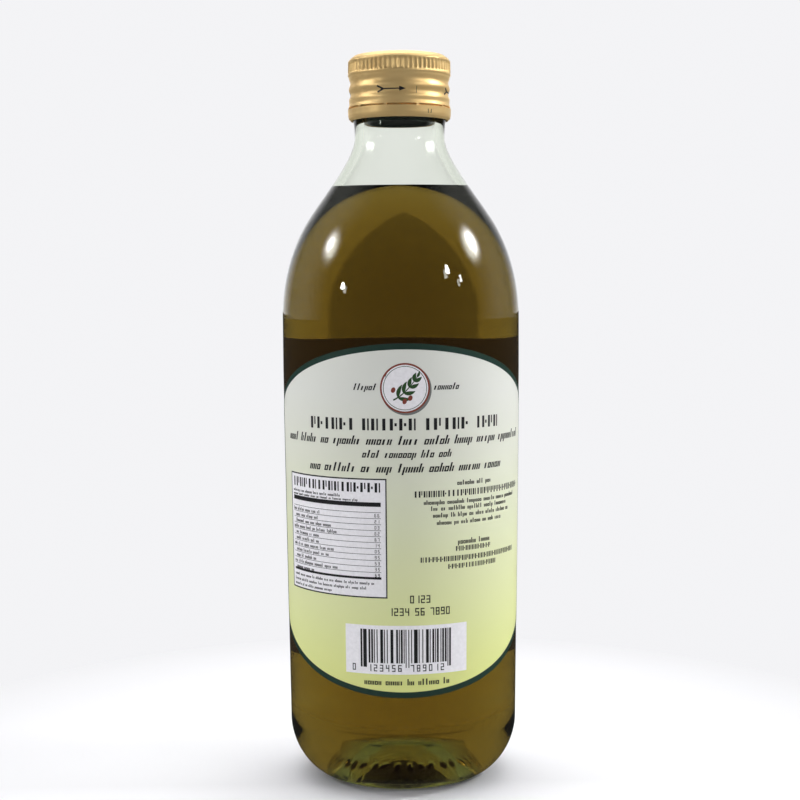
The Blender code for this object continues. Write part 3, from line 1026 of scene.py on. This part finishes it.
def pourer_profile():
    """Under the floor, round the foot, up the ribbed tube, over the flange and down the bore."""
    bottom, top, wide = pourer_low.z / MM, pourer_high.z / MM, pourer_high.x / MM
    flange = top - FLANGE_THICK
    under_r = np.array([0.0, 5.0, POURER_BORE - 0.3, POURER_BORE])
    under = (under_r, POURER_FLOOR - np.array([0.0, 0.0, 0.0, 0.1]))
    foot = (np.array([11.1, 11.3, 11.9, POURER_RADIUS]), bottom + np.array([0.1, 0.0, 0.0, 0.25]))
    tube_z = np.linspace(bottom + 0.6, flange - 0.4, 100)
    wave = np.cos((tube_z - bottom - FIRST_RIB) * 2.0 * math.pi / RIB_PITCH)
    ribs = RIB_RISE * np.clip(wave, 0.0, 1.0) ** 2
    tube = (POURER_RADIUS + np.where(tube_z < bottom + RIBS_TO, ribs, 0.0), tube_z)
    rim = (
        np.array([POURER_RADIUS + 0.1, wide - 0.1, wide, wide, wide - 0.15, POURER_BORE + 0.2, POURER_BORE]),
        np.array([flange, flange, flange + 0.1, top - 0.15, top, top, top - 0.2]),
    )
    down = np.linspace(top - 1.0, POURER_FLOOR + POURER_FLOOR_THICK + 0.3, 8)
    inside = (np.full(8, POURER_BORE), down)
    floor_up = POURER_FLOOR + POURER_FLOOR_THICK
    floor = (np.array([POURER_BORE - 0.3, 5.0, 0.0]), np.full(3, floor_up))
    return joined(under, foot, tube, rim, inside, floor)


pourer_look = Look("pourer_plastic")
grain = pourer_look.noise(700.0, 3.0)
pourer_look.set(
    Base_Color=pourer_look.mix(grain, (0.026, 0.040, 0.035), (0.045, 0.062, 0.055)),
    Roughness=0.28 + 0.16 * grain,
)
pourer_look.bump(pourer_look.noise(3000.0, 2.0), 0.15, 0.00004)
pourer_r, pourer_z = pourer_profile()
turned("bottle_pourer", pourer_r, pourer_z, 128, pourer_look.material, node="pourer", slot="pourer_plastic")


# The studio: a pale ground that runs out to a pale surround, a lit umbrella at each side, three small
# windows and a soft fill in front, a box above. The room behind the camera is dark and mirrors little.
# Through the bottle, an arch of the ground behind it is dimmer, painted shade that darkens the oil's middle.
GROUND = 12.0
SURROUND_TINT = (0.98, 0.98, 1.0)
SWEEP_LEVEL = 1.02
SWEEP_FROM, SWEEP_TO = 0.03, 0.22
DARK_LEVEL = 0.03
CAMERA_DIMMING = 0.1
ARCH_DIMMING = 0.4
ARCH_FROM = 0.35
ARCH_FLARE = 0.46
ARCH_PINCH = 0.078
ARCH_SOFTNESS = 0.02
FRONT_FROM, FRONT_TO = -0.02, -0.06
FRONT_PAINTED_LIGHT = (0.3, 0.3, 0.31)
ground_mesh = bpy.data.meshes.new("ground")
ground_mesh.from_pydata(
    [(-GROUND, -GROUND, 0.0), (GROUND, -GROUND, 0.0), (GROUND, GROUND, 0.0), (-GROUND, GROUND, 0.0)],
    [],
    [(0, 1, 2, 3)],
)
ground_look = Look("ground_white")
ground_look.set(Base_Color=(0.86, 0.86, 0.88), Roughness=0.8)
back_way = ground_look.axis("Y")
# Painted light: the ground just in front of the bottle glows with a faint emission that lifts the bottle's
# shade there.
in_front = ground_look.node("ShaderNodeMapRange", inputs={0: back_way, 1: FRONT_FROM, 2: FRONT_TO})
painted_front_light = ground_look.mix(in_front, (0.0, 0.0, 0.0), FRONT_PAINTED_LIGHT)
ground_look.set(Emission_Color=painted_front_light, Emission_Strength=1.0)

bounces = ground_look.node("ShaderNodeLightPath", output="Glossy Depth")
is_clear = ground_look.node("ShaderNodeLightPath", output="Is Transmission Ray")
is_camera = ground_look.node("ShaderNodeLightPath", output="Is Camera Ray")
side_way = ground_look.node("ShaderNodeMath", {"operation": "ABSOLUTE"}, {0: ground_look.axis("X")})
# Painted shade: an arch of the ground behind the bottle is dimmer, but only for rays that pass through the
# glass.
off_arch = (side_way * back_way + ARCH_PINCH) / (back_way * back_way) - ARCH_FLARE
arch_ends = {0: off_arch, 1: -ARCH_SOFTNESS, 2: ARCH_SOFTNESS, 3: 1.0, 4: 0.0}
arch = ground_look.node("ShaderNodeMapRange", inputs=arch_ends)
arch_dimming = ARCH_DIMMING * arch * back_way.above(ARCH_FROM) * is_clear
strength = SWEEP_LEVEL - arch_dimming - CAMERA_DIMMING * is_camera
sweep = ground_look.node("ShaderNodeEmission", inputs={"Color": SURROUND_TINT, "Strength": strength})
# Painted shade: in mirrors the ground shows as a faint dark emission instead of its lit colour.
dark = ground_look.node("ShaderNodeEmission", inputs={"Color": (1.0, 1.0, 1.0), "Strength": DARK_LEVEL})
place = {0: ground_look.place()}
away = ground_look.node("ShaderNodeVectorMath", {"operation": "LENGTH"}, place, output="Value")
far = ground_look.node("ShaderNodeMapRange", inputs={0: away, 1: SWEEP_FROM, 2: SWEEP_TO})
near_ground = Number(ground_look, ground_look.shader.outputs[0])
pale = ground_look.node("ShaderNodeMixShader", inputs={0: far, 1: near_ground, 2: sweep})
seen_ground = ground_look.node("ShaderNodeMixShader", inputs={0: bounces.at_most(1.0), 1: pale, 2: dark})
ground_look.tree.links.new(seen_ground.socket, ground_look.output.inputs["Surface"])
ground_mesh.materials.append(ground_look.material)
ground = bpy.data.objects.new("ground", ground_mesh)
bpy.context.scene.collection.objects.link(ground)


LAMP_AIM = Vector((0.0, 0.0, 0.19))
GLOW_POWER = 5.0


def soft_box(name, place, size, power, glow=0.0, hidden=False):
    """A lamp aimed at the shoulder. A glow fades it towards its edge, hidden keeps it out of mirrors."""
    light = bpy.data.lights.new(name, "AREA")
    light.shape = "RECTANGLE"
    light.size, light.size_y = size
    light.energy = power
    if glow:
        light.use_nodes = True
        tree = light.node_tree
        across = tree.nodes.new("ShaderNodeNewGeometry")
        distance = tree.nodes.new("ShaderNodeVectorMath")
        distance.operation = "DISTANCE"
        distance.inputs[1].default_value = (0.5, 0.5, 0.0)
        tree.links.new(across.outputs["Parametric"], distance.inputs[0])
        fall = tree.nodes.new("ShaderNodeMapRange")
        for number, value in enumerate((0.0, 0.5, 1.0, 0.0), start=1):
            fall.inputs[number].default_value = value
        tree.links.new(distance.outputs["Value"], fall.inputs[0])
        steep = tree.nodes.new("ShaderNodeMath")
        steep.operation = "POWER"
        steep.inputs[1].default_value = GLOW_POWER
        tree.links.new(fall.outputs[0], steep.inputs[0])
        scaled = tree.nodes.new("ShaderNodeMath")
        scaled.operation = "MULTIPLY"
        scaled.inputs[1].default_value = glow
        tree.links.new(steep.outputs[0], scaled.inputs[0])
        tree.links.new(scaled.outputs[0], tree.nodes["Emission"].inputs["Strength"])
    lamp = bpy.data.objects.new(name, light)
    lamp.visible_glossy = not hidden
    lamp.visible_transmission = not hidden
    lamp.location = place
    lamp.rotation_euler = (Vector(place) - LAMP_AIM).to_track_quat("Z", "Y").to_euler()
    bpy.context.scene.collection.objects.link(lamp)


soft_box("top_box", (0.0, 0.5, 1.5), (1.6, 1.2), 14.0)
soft_box("front_fill", (0.6, -0.75, 0.95), (0.8, 0.8), 0.2, hidden=True)
soft_box("left_umbrella", (-1.22, 0.04, 0.97), (0.8, 0.8), 4.3, glow=26.0)
soft_box("right_umbrella", (1.22, 0.04, 0.97), (0.8, 0.8), 10.0, glow=26.0)
soft_box("left_window", (-1.25, -0.73, 0.58), (0.08, 0.09), 1.9)
soft_box("right_window", (1.01, -0.91, 0.81), (0.09, 0.13), 2.0)
soft_box("right_pane", (1.24, -0.69, 0.66), (0.06, 0.1), 0.5)

world = bpy.data.worlds.new("surround")
world.use_nodes = True
sky = world.node_tree
direction = sky.nodes.new("ShaderNodeTexCoord")
parts = sky.nodes.new("ShaderNodeSeparateXYZ")
sky.links.new(direction.outputs["Generated"], parts.inputs[0])


def brighter_behind(start, end, low, high):
    """Rises from low to high as a direction turns from the front to the back."""
    span = sky.nodes.new("ShaderNodeMapRange")
    for name, value in (("From Min", start), ("From Max", end), ("To Min", low), ("To Max", high)):
        span.inputs[name].default_value = value
    sky.links.new(parts.outputs["Y"], span.inputs["Value"])
    return span.outputs["Result"]


def chosen(factor, first, second):
    """The first level, or the second where the factor is one."""
    level = sky.nodes.new("ShaderNodeMix")
    sky.links.new(factor, level.inputs["Factor"])
    for name, value in (("A", first), ("B", second)):
        if isinstance(value, float):
            level.inputs[name].default_value = value
        else:
            sky.links.new(value, level.inputs[name])
    return level.outputs["Result"]


SEEN_LEVEL = 0.92
path = sky.nodes.new("ShaderNodeLightPath")
lighting = brighter_behind(-0.35, 0.25, 0.05, 1.15)
mirrored = brighter_behind(0.7, 0.98, 0.02, 1.1)
turned_back = brighter_behind(-0.1, 0.4, 0.045, 1.02)
reflected = chosen(path.outputs["Glossy Depth"], lighting, mirrored)
through = chosen(path.outputs["Glossy Depth"], SWEEP_LEVEL, turned_back)
clear = chosen(path.outputs["Is Transmission Ray"], reflected, through)
level = chosen(path.outputs["Is Camera Ray"], clear, SEEN_LEVEL)
backdrop = sky.nodes["Background"]
backdrop.inputs["Color"].default_value = (*SURROUND_TINT, 1.0)
sky.links.new(level, backdrop.inputs["Strength"])
bpy.context.scene.world = world
bpy.context.scene.view_settings.view_transform = "Standard"
